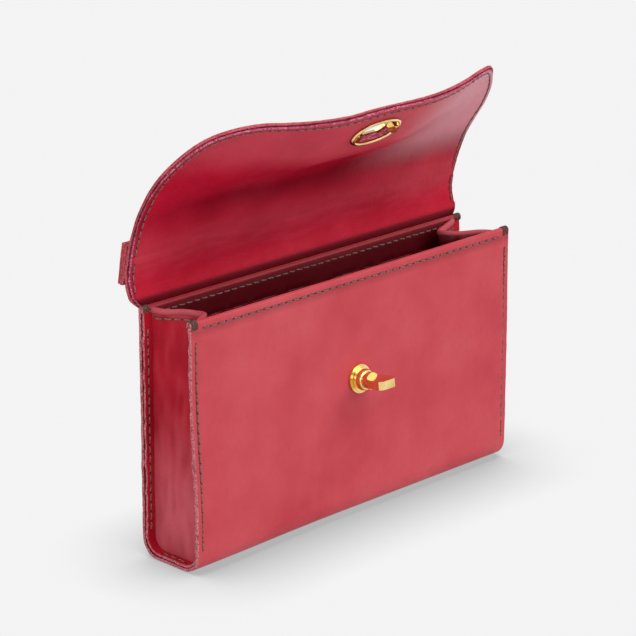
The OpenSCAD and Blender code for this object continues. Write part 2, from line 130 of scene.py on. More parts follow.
class Nodes:
    """A small builder for shader trees."""

    def __init__(self, name):
        self.mat = bpy.data.materials.new(name)
        self.mat.use_nodes = True
        self.tree = self.mat.node_tree
        self.tree.nodes.clear()
        self.out = self.add("ShaderNodeOutputMaterial")
        self.bsdf = self.add("ShaderNodeBsdfPrincipled")
        self.link(self.bsdf, 0, self.out, 0)
        self.coord = self.add("ShaderNodeTexCoord")

    def add(self, kind, **values):
        n = self.tree.nodes.new(kind)
        for key, value in values.items():
            setattr(n, key, value)
        return n

    def link(self, a, i, b, j):
        self.tree.links.new(a.outputs[i], b.inputs[j])

    def noise(self, scale, detail=3.0, rough=0.5, stretch=None):
        n = self.add("ShaderNodeTexNoise")
        n.inputs["Scale"].default_value = scale
        n.inputs["Detail"].default_value = detail
        n.inputs["Roughness"].default_value = rough
        if stretch:
            m = self.add("ShaderNodeMapping")
            m.inputs["Scale"].default_value = stretch
            self.link(self.coord, "Object", m, "Vector")
            self.link(m, 0, n, "Vector")
        else:
            self.link(self.coord, "Object", n, "Vector")
        return n

    def pores(self, scale):
        n = self.add("ShaderNodeTexVoronoi")
        n.inputs["Scale"].default_value = scale
        self.link(self.coord, "Object", n, "Vector")
        return n

    def ramp(self, source, out, stops):
        r = self.add("ShaderNodeValToRGB")
        fill_ramp(r, stops)
        self.link(source, out, r, 0)
        return r

    def mix(self, a, b, factor, blend="MIX"):
        """a and b are (node, output) or a colour, and factor is (node, output) or a number."""
        m = self.add("ShaderNodeMix", data_type="RGBA", blend_type=blend)
        for socket, value in ((0, factor), (6, a), (7, b)):
            if isinstance(value, tuple) and hasattr(value[0], "outputs"):
                self.link(value[0], value[1], m, socket)
            else:
                m.inputs[socket].default_value = value
        return m

    def map(self, source, out, lo, hi, from_lo=0.0, from_hi=1.0):
        m = self.add("ShaderNodeMapRange")
        for key, value in (("From Min", from_lo), ("From Max", from_hi),
                           ("To Min", lo), ("To Max", hi)):
            m.inputs[key].default_value = value
        self.link(source, out, m, 0)
        return m

    def bump(self, source, out, strength, distance, under=None):
        b = self.add("ShaderNodeBump")
        b.inputs["Strength"].default_value = strength
        b.inputs["Distance"].default_value = distance
        self.link(source, out, b, "Height")
        if under:
            self.link(under, 0, b, "Normal")
        return b

    def attr(self, name):
        return self.add("ShaderNodeAttribute", attribute_name=name)


def leather(name, base, dark, light, rough=0.46, grain=1.0, spec=0.2):
    """Smooth dyed leather: colour that drifts, fine pores and hair wrinkles.
    Two mesh attributes say where painted shade makes it darker, and where a painted highlight makes it
    paler."""
    n = Nodes(name)
    drift = n.noise(28, 3, 0.55)
    fine = n.noise(420, 3, 0.6)
    tone = n.ramp(drift, "Fac", [(0.32, dark), (0.52, base), (0.72, light)])
    speck = n.mix((tone, 0), dark, (n.map(fine, "Fac", 0.0, 0.22, 0.5, 0.75), 0))
    # painted shade, then painted highlight, mixed over the leather's own colour
    shade = n.mix((speck, 2), PAINTED_SHADE_COLOUR, (n.attr("crease"), "Fac"))
    haze = n.mix((shade, 2), PAINTED_HIGHLIGHT_COLOUR, (n.attr("haze"), "Fac"))
    n.link(haze, 2, n.bsdf, "Base Color")
    n.link(n.map(fine, "Fac", rough - 0.07, rough + 0.1), 0, n.bsdf, "Roughness")
    pores = n.pores(1500)
    wrinkles = n.noise(210, 4, 0.62, (1.0, 1.0, 0.35))
    soft = n.bump(n.noise(70, 2), "Fac", 0.25, 0.0012)
    low = n.bump(wrinkles, "Fac", 0.28 * grain, 0.00045, soft)
    top = n.bump(pores, "Distance", 0.22 * grain, 0.00016, low)
    n.link(top, 0, n.bsdf, "Normal")
    n.bsdf.inputs["Specular IOR Level"].default_value = spec
    return n.mat


def cut_edge(name, base, dark, light, depth=0.0006):
    """The fibrous cut edge of leather."""
    n = Nodes(name)
    fibre = n.noise(1300, 4, 0.7)
    patch = n.noise(330, 3, 0.6)
    a = n.ramp(fibre, "Fac", [(0.36, dark), (0.5, base), (0.66, light)])
    b = n.mix((a, 0), dark, (n.map(patch, "Fac", 0.0, 0.75, 0.5, 0.68), 0))
    n.link(b, 2, n.bsdf, "Base Color")
    n.bsdf.inputs["Roughness"].default_value = 0.85
    n.link(n.bump(fibre, "Fac", 0.9, depth), 0, n.bsdf, "Normal")
    return n.mat


def thread_material(name, base, dark, light):
    """Waxed twisted thread."""
    n = Nodes(name)
    ply = n.noise(1900, 2, 0.5, (1.0, 1.0, 1.7))
    n.link(n.ramp(ply, "Fac", [(0.35, dark), (0.5, base), (0.66, light)]), 0, n.bsdf, "Base Color")
    n.bsdf.inputs["Roughness"].default_value = 0.62
    n.link(n.bump(ply, "Fac", 0.8, 0.00025), 0, n.bsdf, "Normal")
    return n.mat


def brass_material(name):
    """Polished brass whose colour and polish vary a little."""
    n = Nodes(name)
    tarnish = n.noise(160, 3, 0.6)
    wipe = n.noise(900, 3, 0.6, (1.0, 1.0, 6.0))
    colour = n.ramp(tarnish, "Fac", [(0.3, (0.80, 0.54, 0.17, 1)), (0.55, (0.93, 0.70, 0.30, 1)),
                                     (0.75, (0.98, 0.80, 0.44, 1))])
    n.link(colour, 0, n.bsdf, "Base Color")
    n.bsdf.inputs["Metallic"].default_value = 1.0
    n.link(n.map(wipe, "Fac", 0.07, 0.2), 0, n.bsdf, "Roughness")
    n.link(n.bump(tarnish, "Fac", 0.05, 0.0002), 0, n.bsdf, "Normal")
    return n.mat


CORAL = leather("outer_leather", lin(203, 72, 83), lin(194, 60, 73), lin(209, 82, 92), spec=0.26)
GUSSET_RED = leather("gusset_leather", lin(190, 26, 48), lin(174, 14, 39), lin(202, 42, 60),
                     rough=0.5, grain=2.8, spec=0.12)
LINING_RED = leather("lining_leather", lin(198, 24, 54), lin(186, 10, 44), lin(207, 40, 65),
                     rough=0.42, grain=1.8, spec=0.1)
LINING_BACK = leather("lining_back", lin(170, 20, 40), lin(150, 8, 28), lin(184, 34, 50), 0.6)
# the pouch's dark red inside, its base colour darkened further as painted shade
INSIDE_RED_WITH_PAINTED_SHADE = leather("pouch_inside_with_painted_shade", lin(122, 1, 15), lin(104, 0, 9), lin(136, 4, 22),
                     rough=0.6, grain=1.0, spec=0.0)
CORAL_EDGE = cut_edge("burnished_edge", lin(200, 80, 92), lin(164, 44, 58), lin(218, 116, 124),
                      depth=0.0003)
PINK_EDGE = cut_edge("raw_pink_edge", lin(212, 116, 126), lin(150, 44, 60), lin(236, 170, 174))
FRESH_EDGE = cut_edge("fresh_cut_edge", lin(212, 84, 124), lin(148, 26, 66), lin(242, 168, 192))
DARK_EDGE = cut_edge("dark_edge", lin(150, 40, 52), lin(70, 6, 14), lin(196, 86, 94))
THREAD = thread_material("seam_thread", lin(122, 96, 84), lin(76, 50, 44), lin(160, 134, 118))
TACK = thread_material("bar_tack_thread", lin(98, 58, 50), lin(52, 24, 22), lin(138, 96, 80))
# dark discs at the needle holes: painted shade of the holes
NEEDLE_HOLE_SHADE = thread_material("needle_hole_painted_shade", lin(60, 14, 18), lin(36, 6, 8), lin(78, 24, 26))
BRASS = brass_material("polished_brass")


# ---------------------------------------------------------------- mesh builders
def unit(v):
    return v / np.maximum(np.linalg.norm(v, axis=-1, keepdims=True), 1e-9)


def bumps(points, scale, seed=0.0):
    """Smooth noise from -1 to 1 at each point; scale is the size of a bump."""
    flat = np.asarray(points, float).reshape(-1, 3)
    out = [noise.noise(Vector((p[0] / scale + seed, p[1] / scale, p[2] / scale - seed)))
           for p in flat]
    return np.array(out).reshape(np.asarray(points).shape[:-1])


class Soup:
    """Vertices, faces and materials of one piece, gathered before its mesh is made."""

    def __init__(self):
        self.v, self.f, self.m, self.a = [], [], [], {"crease": [], "haze": []}
        self.n = 0

    def add(self, verts, faces, mats, crease=None, haze=None):
        verts = np.asarray(verts, float).reshape(-1, 3)
        self.v.append(verts)
        self.f += [tuple(i + self.n for i in f) for f in faces]
        self.m += list(mats) if np.ndim(mats) else [mats] * len(faces)
        for key, value in (("crease", crease), ("haze", haze)):
            value = np.zeros(len(verts)) if value is None else np.asarray(value, float)
            self.a[key].append(value.reshape(-1))
        self.n += len(verts)

    def make(self, name, materials, body, replaces=(), blend=None, shift=None, cut=None):
        """Makes the piece. shift moves its points, and cut changes the mesh. With blend the piece only
        has its transform baked, and otherwise it is attached to its body.
        """
        v = np.concatenate(self.v)
        if shift:
            v = shift(v)
        me = bpy.data.meshes.new(name)
        me.from_pydata((v / 1000).tolist(), [], self.f)
        for m in materials:
            me.materials.append(m)
        me.polygons.foreach_set("material_index", np.array(self.m, dtype=np.int32))
        for key, parts in self.a.items():
            layer = me.attributes.new(key, "FLOAT", "POINT")
            layer.data.foreach_set("value", np.concatenate(parts).astype(np.float32))
        me.polygons.foreach_set("use_smooth", [True] * len(me.polygons))
        me.update()
        o = bpy.data.objects.new(name, me)
        bpy.context.collection.objects.link(o)
        if cut:
            cut(o)
        o.data.set_sharp_from_angle(angle=SHARP_ANGLE)
        if blend:
            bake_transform(o)
        else:
            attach(o, body)
        if replaces:
            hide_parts(*replaces)
        return o


def sheet(soup, P, N, out, inn, edge=0.35, rough=0.0, open_sides=(), mats=(0, 1, 2), crease=None,
          haze=None):
    """A thick sheet over the grid P with outward normals N and rounded, slightly ragged borders.
    open_sides names borders, first_row or last_row, that meet another sheet."""
    R, C = P.shape[:2]
    out = np.broadcast_to(out, (R, C))[..., None]
    inn = np.broadcast_to(inn, (R, C))[..., None]
    top, bot = P + N * out, P - N * inn
    away = np.zeros_like(P)
    if "first_row" not in open_sides:
        away[0] += unit(P[0] - P[1])
    if "last_row" not in open_sides:
        away[-1] += unit(P[-1] - P[-2])
    away[:, 0] += unit(P[:, 0] - P[:, 1])
    away[:, -1] += unit(P[:, -1] - P[:, -2])
    away = unit(away) * (np.linalg.norm(away, axis=-1, keepdims=True) > 0)
    top = top - away * edge
    bot = bot - away * edge
    loop = ([(0, i) for i in range(C)] + [(j, C - 1) for j in range(1, R)]
            + [(R - 1, i) for i in range(C - 2, -1, -1)] + [(j, 0) for j in range(R - 2, 0, -1)])
    J, I = np.array(loop).T
    L = len(loop)
    wobble = rng.normal(0, 1, (2, L, 1)) * rough
    ring_a = (P + N * (out - edge * 0.8))[J, I] + away[J, I] * wobble[0]
    ring_b = (P - N * (inn - edge * 0.8))[J, I] + away[J, I] * wobble[1]
    verts = np.concatenate([top.reshape(-1, 3), bot.reshape(-1, 3), ring_a, ring_b])
    mid = (R // 2, C // 2)
    turn = np.cross(P[mid[0], min(mid[1] + 1, C - 1)] - P[mid[0], mid[1] - 1],
                    P[min(mid[0] + 1, R - 1), mid[1]] - P[mid[0] - 1, mid[1]])
    flip = np.dot(turn, N[mid]) < 0
    faces, fm = [], []

    def quad(a, b, c, d, m):
        faces.append((d, c, b, a) if flip else (a, b, c, d))
        fm.append(m)

    B = R * C
    for j in range(R - 1):
        for i in range(C - 1):
            a, b, c, d = j * C + i, j * C + i + 1, (j + 1) * C + i + 1, (j + 1) * C + i
            quad(a, b, c, d, mats[0])
            quad(B + d, B + c, B + b, B + a, mats[1])
    A0, B0 = 2 * B, 2 * B + L
    for k in range(L):
        q = (k + 1) % L
        t0, t1 = J[k] * C + I[k], J[q] * C + I[q]
        quad(t1, t0, A0 + k, A0 + q, mats[2])
        quad(A0 + q, A0 + k, B0 + k, B0 + q, mats[2])
        quad(B0 + q, B0 + k, B + t0, B + t1, mats[2])

    def spread(a):
        if a is None:
            return None
        a = np.broadcast_to(a, (R, C))
        return np.concatenate([a.ravel(), a.ravel(), a[J, I], a[J, I]])

    soup.add(verts, faces, fm, spread(crease), spread(haze))


def tube(soup, path, r, sides, haze=0.0):
    """A round bar along a path, with narrowed and closed ends."""
    path = np.asarray(path, float)
    t = unit(np.gradient(path, axis=0))
    ref = np.array([0.31, 0.42, 0.85]) if abs(t[:, 2]).mean() < 0.8 else np.array([0.9, 0.31, 0.2])
    a = unit(np.cross(t, ref))
    b = np.cross(t, a)
    n = len(path)
    k = np.full(n, 1.0)
    k[0] = k[-1] = 0.55
    ang = np.arange(sides) * 2 * np.pi / sides
    ring = (path[:, None] + (a[:, None] * np.cos(ang)[None, :, None]
            + b[:, None] * np.sin(ang)[None, :, None]) * (r * k)[:, None, None])
    faces = []
    for i in range(n - 1):
        for s in range(sides):
            q = (s + 1) % sides
            faces.append((i * sides + s, i * sides + q, (i + 1) * sides + q, (i + 1) * sides + s))
    faces.append(tuple(range(sides))[::-1])
    faces.append(tuple((n - 1) * sides + s for s in range(sides)))
    soup.add(ring, faces, 0, haze=np.full(n * sides, haze))


def stitch_row(soup, path, normals, pitch=PITCH, length=3.7, r=0.34, lift=0.0, slant=5.0):
    """Stitches along a path on the leather: each a fat thread that dives into its holes."""
    path, normals = np.asarray(path, float), unit(np.asarray(normals, float))
    run = np.r_[0, np.cumsum(np.linalg.norm(np.diff(path, axis=0), axis=1))]
    count = max(1, int((run[-1] + pitch - length) // pitch))
    lead = (run[-1] - (count - 1) * pitch - length) / 2

    def at(s):
        return (np.array([np.interp(s, run, path[:, k]) for k in range(3)]),
                unit(np.array([np.interp(s, run, normals[:, k]) for k in range(3)])))

    sides, stations = 8, np.array([-1, -0.86, -0.55, 0, 0.55, 0.86, 1])
    ang = np.arange(sides) * 2 * np.pi / sides
    for c in range(count):
        s0 = lead + c * pitch
        (p0, n0), (p1, n1) = at(s0), at(s0 + length)
        n = unit(n0 + n1)
        d = unit(p1 - p0)
        side = unit(np.cross(d, n))
        tilt = math.radians(slant + rng.normal(0, 2.0))
        d = unit(d * math.cos(tilt) + side * math.sin(tilt))
        side = unit(np.cross(d, n))
        half = np.linalg.norm(p1 - p0) / 2 * rng.uniform(0.95, 1.03)
        mid = at(s0 + length / 2)[0]
        centre = (mid + d * (stations * half)[:, None]
                  + n * (lift + r * (0.62 - 1.15 * stations ** 4))[:, None])
        rad = r * np.sqrt(np.maximum(0.12, 1 - 0.75 * np.abs(stations) ** 5))
        ring = (centre[:, None] + (side * np.cos(ang)[:, None] + n * 0.85 * np.sin(ang)[:, None])[None]
                * rad[:, None, None])
        faces = [(i * sides + q, i * sides + (q + 1) % sides, (i + 1) * sides + (q + 1) % sides,
                  (i + 1) * sides + q) for i in range(len(stations) - 1) for q in range(sides)]
        faces += [tuple(range(sides))[::-1],
                  tuple((len(stations) - 1) * sides + q for q in range(sides))]
        soup.add(ring, faces, 0)
        # a dark disc at each hole stands in for the shade inside it, as painted shade
        for end in (-1, 1):
            hole = mid + d * end * half * 1.04 + n * (lift + 0.03)
            disc = hole + (side * np.cos(ang)[:, None] * 0.42 + d * np.sin(ang)[:, None] * 0.5)
            low = disc - n * 0.12
            lid = [tuple(range(sides)), tuple(range(2 * sides - 1, sides - 1, -1))]
            wall = [(q, sides + q, sides + (q + 1) % sides, (q + 1) % sides) for q in range(sides)]
            soup.add(np.concatenate([disc, low]), lid + wall, 1)


def smooth01(t):
    t = np.clip(t, 0, 1)
    return t * t * (3 - 2 * t)


def relax(v):
    """The soft pouch as it stands: its front left corner eases forward towards the bottom."""
    v = np.array(v, float)
    front = np.clip(-v[:, 1] / HALF_D, 0, 1)
    ease = smooth01((-v[:, 0] - 10) / 94) * smooth01((100 - v[:, 2]) / 80)
    v[:, 1] -= 3.0 * front * ease
    v[:, 2] = np.maximum(v[:, 2], 0)
    return v


# ---------------------------------------------------------------- pouch body
RIM_Y, RIM_Z = HALF_D - LEATHER, BODY_H - LEATHER


def mirror_list(values):
    return sorted(set([-v for v in values] + list(values)))


def body_leather():
    xs = np.array(mirror_list([104, 103.3, 102.2, 101.6, 101, 100.4, 99.8, 98.6, 96.6, 95.4, 94, 92]
                              + list(np.linspace(0, 89, 36))))
    arc = np.radians(np.linspace(0, 180, 11))
    quarter = np.radians(np.linspace(0, 90, 9))[1:]
    face_z = np.array([114.9, 114.5, 114.2, 113.9, 113.4, 112.4] + list(np.linspace(110, 9, 40)))
    rows = []                       # y, z, normal y, normal z, hem share
    for share in (1.0, 0.7, 0.35):
        rows.append((-RIM_Y + LEATHER, RIM_Z, 1, 0, share))
    for a in arc:
        rows.append((-RIM_Y + LEATHER * math.cos(a), RIM_Z + LEATHER * math.sin(a),
                     math.cos(a), math.sin(a), 0))
    for z in face_z:
        rows.append((-HALF_D, z, -1, 0, 0))
    for a in quarter:
        rows.append((-HALF_D + BOTTOM_R * (1 - math.cos(a)), BOTTOM_R * (1 - math.sin(a)),
                     -math.cos(a), -math.sin(a), 0))
    for y in np.linspace(-HALF_D + BOTTOM_R, HALF_D - BOTTOM_R, 7)[1:]:
        rows.append((y, 0, 0, -1, 0))
    for a in quarter:
        rows.append((HALF_D - BOTTOM_R + BOTTOM_R * math.sin(a), BOTTOM_R * (1 - math.cos(a)),
                     math.sin(a), -math.cos(a), 0))
    for z in face_z[::-1]:
        rows.append((HALF_D, z, 1, 0, 0))
    for a in arc:
        rows.append((RIM_Y + LEATHER * math.cos(a), RIM_Z + LEATHER * math.sin(a),
                     math.cos(a), math.sin(a), 0))
    for share in (0.35, 0.7, 1.0):
        rows.append((RIM_Y - LEATHER, RIM_Z, -1, 0, share))
    rows = np.array(rows, float)
    hem = 1 + 10.5 * smooth01((96.5 - np.abs(xs)) / 3)
    P = np.zeros((len(rows), len(xs), 3))
    P[..., 0] = xs
    P[..., 1] = rows[:, None, 0]
    P[..., 2] = rows[:, None, 1] - rows[:, None, 4] * hem
    N = np.zeros_like(P)
    N[..., 1:] = rows[:, None, 2:4]
    front = (rows[:, 2] < -0.5)[:, None] & (rows[:, 1] > 4)[:, None]
    back = (rows[:, 2] > 0.5)[:, None] & (rows[:, 0] > 10)[:, None]
    wave = bumps(P, 46, 1.7) * 0.45 + bumps(P, 17, 5.0) * 0.1
    calm = smooth01((P[..., 2] - 6) / 20) * smooth01((BODY_H - P[..., 2]) / 10)
    push = wave * calm * (front | back)
    groove = np.exp(-((np.abs(P[..., 0]) - (HALF_W - STITCH_INSET)) / 0.75) ** 2)
    groove = np.maximum(groove, np.exp(-((P[..., 2] - (BODY_H - 3.8)) / 0.5) ** 2) * front)
    push = push - 0.22 * groove * (front | back)
    # the panel swells out to meet the tipped base of the lock
    dx, dz = P[..., 0], P[..., 2] - LOCK_Z
    near = smooth01((24 - np.hypot(dx, dz)) / 16)
    stand = np.clip(0.68 - dz * math.tan(LOCK_TIP), 0, 1.4)
    push = np.where(front, push * (1 - near) + stand * near, push)
    P = P + N * push[..., None]
    inside = ((rows[:, 1] == RIM_Z) & (np.abs(rows[:, 0]) < RIM_Y)) | (rows[:, 4] > 0)
    rolled = (rows[:, 1] > RIM_Z) & (np.abs(rows[:, 0]) < RIM_Y)
    # painted shade: a dark line under the front hem stitches, and the pouch's inside and rolled rim
    # darkened
    crease = 0.3 * np.exp(-((P[..., 2] - (BODY_H - 5.0)) / 1.2) ** 2) * front
    crease = np.maximum(crease, inside[:, None] * np.where(P[..., 2] < BODY_H - 4.2, 0.97, 0.78))
    crease = np.maximum(crease, rolled[:, None] * 0.5)
    s = Soup()
    sheet(s, P, N, 0.0, LEATHER - 0.05, edge=0.42, rough=0.1, crease=crease)
    s.make("body_leather", [CORAL, INSIDE_RED_WITH_PAINTED_SHADE, PINK_EDGE], "pouch",
           ("body_outer",), shift=relax)


def seam_stitches(side, name, node):
    s = Soup()
    x = side * (HALF_W - STITCH_INSET)
    z = np.linspace(BODY_H - 8, BOTTOM_R + 1, 60)
    for y, n in ((-HALF_D, -1), (HALF_D, 1)):
        top = BODY_H - 8 if n < 0 else 101
        zz = np.linspace(top, BOTTOM_R + 1, 60)
        path = np.stack([np.full(60, x), np.full(60, y), zz], 1)
        stitch_row(s, path, np.tile([0, n, 0], (60, 1)), lift=-0.12)
    # on the inside of the gusset's margin, along the back and the bottom
    inset = LEATHER + 0.05 + GUSSET
    path = np.stack([np.full(60, x), np.full(60, HALF_D - inset), z], 1)
    stitch_row(s, path, np.tile([0, -1, 0], (60, 1)))
    y = np.linspace(HALF_D - BOTTOM_R, -HALF_D + BOTTOM_R, 20)
    path = np.stack([np.full(20, x), y, np.full(20, inset)], 1)
    stitch_row(s, path, np.tile([0, 0, 1], (20, 1)))
    s.make(name, [THREAD, NEEDLE_HOLE_SHADE], "pouch", (node,), shift=relax)


def hem_stitches():
    rows = (("front_hem_stitches", "front_hem_thread", -HALF_D, 97),
            ("back_hem_stitches", "back_hem_thread", HALF_D - 2 * LEATHER, 92))
    for name, node, y, reach in rows:
        s = Soup()
        x = np.linspace(-reach, reach, 120)
        path = np.stack([x, np.full(120, y), np.full(120, BODY_H - 3.8)], 1)
        stitch_row(s, path, np.tile([0, -1, 0], (120, 1)), lift=-0.1 if y < 0 else 0)
        s.make(name, [THREAD, NEEDLE_HOLE_SHADE], "pouch", (node,), shift=relax)


def bar_tacks():
    s = Soup()
    for sx in (-1, 1):
        for sy in (-1, 1):
            for k in range(7):
                x = sx * (HALF_W - 0.9 - k * 0.56) + rng.normal(0, 0.05)
                r = LEATHER + 0.1 + 0.07 * (k % 2)
                down = 3.6 + rng.uniform(-0.4, 0.4)
                pts = [(x, sy * (RIM_Y + r), RIM_Z - down + 1.5)] if sy < 0 else []
                pts.append((x, sy * (RIM_Y + r), RIM_Z + (-0.6 if sy < 0 else 0.3)))
                for a in np.radians(np.linspace(10, 170, 9)):
                    pts.append((x + sx * 0.25 * math.sin(a), sy * (RIM_Y + r * math.cos(a)),
                                RIM_Z + r * math.sin(a)))
                pts.append((x, sy * (RIM_Y - r), RIM_Z - 1.2))
                tube(s, pts, 0.27, 7)
    s.make("corner_tack_loops", [TACK], "pouch", ("corner_bar_tacks",), shift=relax)


# ---------------------------------------------------------------- gussets
GUSSET_TOP = 115.6
LEFT_FOLD = (12, -0.4)           # depth of the fold, and where its crest lies from front to back
RIGHT_FOLD = (20, 0.3)


def fold_shape(v, crest):
    t = np.where(v < crest, (v + 1) / (crest + 1), (1 - v) / (1 - crest))
    return (1 - np.cos(np.pi * t)) / 2


def gusset_surface(depth, crest, v, z):
    """Points on a right gusset's outer face."""
    inset = LEATHER + 0.1
    half = np.where(z >= BOTTOM_R, HALF_D - inset,
                    HALF_D - BOTTOM_R + np.sqrt(np.maximum(0, (BOTTOM_R - inset) ** 2
                                                           - (BOTTOM_R - np.minimum(z, BOTTOM_R)) ** 2)))
    grow = np.maximum(0, (z - 30) / (BODY_H - 30)) ** 1.5
    x = HALF_W - SEAM_W + GUSSET / 2 - depth * fold_shape(v, crest) * grow
    return np.stack([x, v * half, z], -1)


def grid_normals(P, like):
    n = unit(np.cross(np.gradient(P, axis=1), np.gradient(P, axis=0)))
    return n if (n * like).sum() > 0 else -n


def gusset(side, depth, crest, name, node):
    s = Soup()
    v = np.linspace(-1, 1, 49)
    z = np.concatenate([np.linspace(1.7, 9, 5)[:-1], np.linspace(9, GUSSET_TOP, 46)])
    V, Z = np.meshgrid(v, z)
    P = gusset_surface(depth, crest, V, Z)
    N = grid_normals(P, np.array([1.0, 0, 0]))
    fine = bumps(P * np.array([1.0, 1.0, 0.25]), 3.4, 2.0 + side)
    soft = bumps(P, 14, 9.0 + side)
    calm = smooth01((1 - np.abs(V)) / 0.2) * smooth01((Z - 4) / 12)
    P = P + N * ((0.2 * fine + 0.45 * soft - 0.25) * calm)[..., None]
    # painted shade: darker near the folded sides and in the hollows of the wrinkles
    shade = 0.22 * smooth01((np.abs(V) - 0.8) / 0.2) + 0.3 * np.maximum(0, -fine)
    # painted highlight: paler towards the bottom, on the wrinkles' crests and at the top hem
    haze = 0.28 * smooth01((88 - Z) / 70) + 0.1 * fine + 0.2 * smooth01((Z - 112) / 3)
    sheet(s, P, N, 0.0, GUSSET, edge=0.3, rough=0.04, mats=(0, 2, 0), crease=shade,
          haze=np.clip(haze, 0, 1))
    # rolled hem along the top
    vv = np.linspace(-0.985, 0.985, 70)
    path = gusset_surface(depth, crest, vv, np.full(70, GUSSET_TOP))
    path[:, 0] -= GUSSET / 2
    path[:, 2] += 0.15 * np.sin(vv * 9)
    # the rolled hem is made paler by painted highlight
    tube(s, path, 1.35, 12, haze=0.3)
    # margin sewn to the body, with its raw edge outside
    inset = LEATHER + 0.05
    arc = np.radians(np.linspace(0, 90, 8))
    line = [(-HALF_D + inset, zz, 1, 0) for zz in np.linspace(116, BOTTOM_R, 40)]
    line += [(-HALF_D + BOTTOM_R - (BOTTOM_R - inset) * math.cos(a),
              BOTTOM_R - (BOTTOM_R - inset) * math.sin(a), math.cos(a), math.sin(a)) for a in arc[1:]]
    line += [(y, inset, 0, 1) for y in np.linspace(-8, 8, 8)[1:-1]]
    line += [(HALF_D - BOTTOM_R + (BOTTOM_R - inset) * math.sin(a),
              BOTTOM_R - (BOTTOM_R - inset) * math.cos(a), -math.sin(a), math.cos(a)) for a in arc]
    line += [(HALF_D - inset, zz, -1, 0) for zz in np.linspace(BOTTOM_R, 116, 40)[1:]]
    line = np.array(line)
    xs = np.array([98.2, 99.5, 101, 102.2, 103.2])
    M = np.zeros((len(line), len(xs), 3))
    M[..., 0] = xs
    M[..., 1:] = line[:, None, :2]
    ragged = rng.normal(0, 0.16, len(line)) + 0.35 * bumps(M[:, 0], 7, 3.0)
    M[:, -1, 0] += ragged
    Q = np.zeros_like(M)
    Q[..., 1:] = line[:, None, 2:]
    # a little painted shade on the sewn margin
    sheet(s, M, Q, GUSSET, 0.0, edge=0.28, rough=0.1, mats=(0, 0, 1), crease=0.06)

    def place(p):
        p = p.copy()
        p[:, 0] *= side
        return relax(p)

    if side < 0:
        s.f = [f[::-1] for f in s.f]
    s.make(name, [GUSSET_RED, PINK_EDGE, INSIDE_RED_WITH_PAINTED_SHADE], "pouch", (node,),
           shift=place)


def gusset_hem_stitches():
    s = Soup()
    for side, (depth, crest) in ((-1, LEFT_FOLD), (1, RIGHT_FOLD)):
        v = np.linspace(-0.93, 0.93, 90)
        P = gusset_surface(depth, crest, v, np.full(90, GUSSET_TOP - 3.2))
        up = gusset_surface(depth, crest, v, np.full(90, GUSSET_TOP - 2.2)) - P
        N = unit(np.cross(np.gradient(P, axis=0), up))
        N = N * np.sign(N[:, :1])
        P[:, 0] *= side
        N[:, 0] *= side
        stitch_row(s, P, N, pitch=4.3, length=3.3, lift=0.12)
    s.make("gusset_hem_stitches", [THREAD, NEEDLE_HOLE_SHADE], "pouch", ("gusset_hem_threads",),
           shift=relax)


# ---------------------------------------------------------------- flap
BASE_STOPS = [(0, -36), (15, 8), (CREASE_S, 26)]
SIDE_STOPS = BASE_STOPS + [(55, 36), (80, 39), (105, 54)]
MID_STOPS = BASE_STOPS + [(54, 66), (70, 69), (EYELET_S - 10, 41), (EYELET_S + 10, 41), (108, 2)]


def lean(u, s):
    t = np.clip((u - 0.16) / 0.84, 0, None)
    share = 1 - (1 - np.minimum(t, 1) ** 2) ** 2.4
    a = np.interp(s, *zip(*MID_STOPS))
    b = np.interp(s, *zip(*SIDE_STOPS))
    return np.radians(a * (1 - share) + b * share)


def flap_surface(x, s):
    """Centre of the flap's leather at x and s, and its outward direction."""
    x, s = np.broadcast_arrays(np.asarray(x, float), np.asarray(s, float))
    u = np.abs(x) / FLAP_HALF_W
    steps = 96
    t = (np.arange(steps) + 0.5) / steps
    sp = np.maximum(s, 0)
    th = lean(u[..., None], sp[..., None] * t)
    y = HINGE_Y - (np.sin(th).sum(-1)) * sp / steps
    z = HINGE_Z + (np.cos(th).sum(-1)) * sp / steps
    l = lean(u, sp)
    n = np.stack([np.zeros_like(y), np.cos(l), np.sin(l)], -1)
    # below the hinge the leather lies on the back panel
    flat = HALF_D + 0.05 + LINING_T + 0.03
    w = smooth01((s + 4) / 8)
    y = np.where(s < 4, flat * (1 - w) + y * w + 0.5 * np.exp(-(s / 2.5) ** 2), y)
    z = np.where(s < 0, HINGE_Z + s, z)
    n0 = np.array([0.0, 1.0, 0.0])
    n = np.where((s < 4)[..., None], unit(n0 * (1 - w)[..., None] + n * w[..., None]), n)
    return np.stack([x, y, z], -1), n


def flap_end(x, inset=0.0):
    r, flat = FLAP_R - inset, FLAP_HALF_W - FLAP_R
    ax = np.abs(x)
    mid = FLAP_SIDE - inset + (FLAP_MID - FLAP_SIDE) * (1 - (np.minimum(ax, flat) / flat) ** 2)
    corner = FLAP_SIDE - FLAP_R + np.sqrt(np.maximum(0, r * r - np.maximum(ax - flat, 0) ** 2))
    return np.where(ax <= flat, mid, corner)


def flap_wave(P, x, s):
    """Soft unevenness of the flap, with none round the eyelet or at its sewn foot."""
    calm = smooth01((np.hypot(x, s - EYELET_S) - 17) / 12) * smooth01((s - 3) / 12)
    calm = calm * (1 - smooth01((np.abs(x) - 86) / 10) * np.exp(-((s - 42) / 10) ** 2))
    wave = 0.55 * bumps(P, 30, 3.3) + 0.2 * bumps(P, 11, 8.1)
    foot = 0.28 * bumps(P * np.array([0.5, 1, 1.6]), 5, 4.4) * np.exp(-((s - 14) / 13) ** 2)
    return wave * calm + foot * smooth01((s - 3) / 8)


